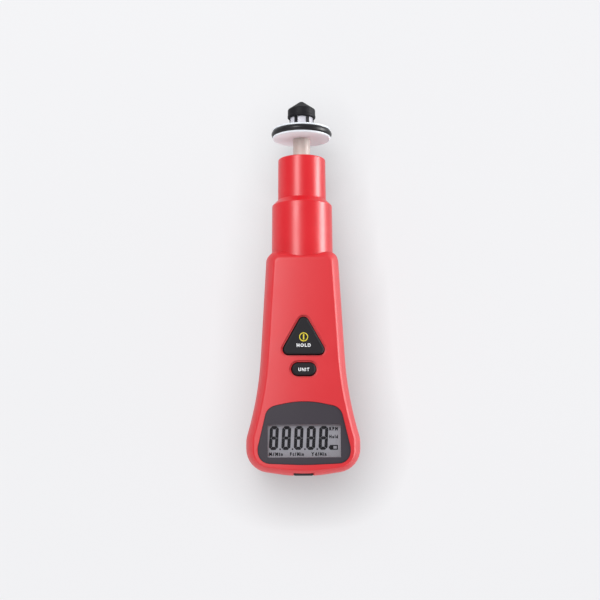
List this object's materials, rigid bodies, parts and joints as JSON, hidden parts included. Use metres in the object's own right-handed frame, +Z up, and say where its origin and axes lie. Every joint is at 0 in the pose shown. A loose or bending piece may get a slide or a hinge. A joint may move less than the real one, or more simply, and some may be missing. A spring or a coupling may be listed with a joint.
{
  "type": "handheld contact tachometer",
  "caption": "Handheld tachometer with a flared red case, display and keys, and a pull-off contact adapter with a spinning surface wheel and rubber cone.",
  "frame": {"origin": "middle of the bounding box on the surface that the instrument's back lies on", "axes": "+Y along the barrel towards the cone, +Z up out of the face with display and keys"},
  "size_m": [0.0582, 0.1964, 0.041],
  "materials": {
    "case_red": "fine satin grain",
    "key_black": "soft matt",
    "panel_grey": "fine matt",
    "clear_plastic": "clear",
    "lcd": "polarised film",
    "black_plastic": "moulded",
    "board": "solder mask",
    "steel": "plated",
    "brass": "turned",
    "cell": "printed wrap",
    "ivory_plastic": "acetal",
    "white_plastic": "acetal",
    "tip_rubber": "matt",
    "tyre": "satin",
    "ribbon": "film",
    "wire": "insulation",
    "foil": "reflecting foil"
  },
  "bodies": {
    "housing": {"front_case": "case_red", "rear_case": "case_red", "display_panel": "panel_grey", "display_lens": "clear_plastic", "lcd_glass": "lcd", "lcd_frame": "black_plastic", "zebra_strips": "tip_rubber", "main_board": "board", "controller_chip": "black_plastic", "quartz_crystal": "steel", "hold_switch": "black_plastic", "unit_switch": "black_plastic", "battery": "cell", "battery_snap": "black_plastic", "battery_leads": "wire", "case_screws": "steel", "board_screws": "steel", "strap_post": "black_plastic", "sensor_nozzle": "black_plastic", "sensor_window": "clear_plastic", "optics_holder": "black_plastic", "laser_module": "brass", "receiver_lens": "clear_plastic", "photo_sensor": "black_plastic", "sensor_board": "board", "sensor_ribbon": "ribbon"},
    "door": {"battery_door": "case_red"},
    "hold_key": {"hold_button": "key_black", "hold_plunger": "black_plastic"},
    "unit_key": {"unit_button": "key_black", "unit_plunger": "black_plastic"},
    "adapter": {"adapter_barrel": "case_red", "front_bush": "brass", "rear_bush": "brass"},
    "rotor": {"spindle": "ivory_plastic", "surface_wheel": "white_plastic", "wheel_tyre": "tyre", "tip_hub": "white_plastic", "cone_tip": "tip_rubber", "code_disc": "black_plastic", "reflector_patch": "foil", "retaining_clip": "steel"}
  },
  "joints": [
    {"name": "door_slide", "type": "slide", "parent": "housing", "child": "door", "axis": [0, -1, 0], "range_m": [0, 0.064]},
    {"name": "hold_press", "type": "slide", "parent": "housing", "child": "hold_key", "axis": [0, 0, -1], "range_m": [0, 0.0006], "stiffness_N_per_m": 900},
    {"name": "unit_press", "type": "slide", "parent": "housing", "child": "unit_key", "axis": [0, 0, -1], "range_m": [0, 0.0006], "stiffness_N_per_m": 900},
    {"name": "adapter_pull", "type": "slide", "parent": "housing", "child": "adapter", "axis": [0, 1, 0], "range_m": [0, 0.03]},
    {"name": "rotor_spin", "type": "hinge", "parent": "adapter", "child": "rotor", "pos_m": [0, 0.08, 0.0228], "axis": [0, 1, 0], "continuous": true}
  ]
}
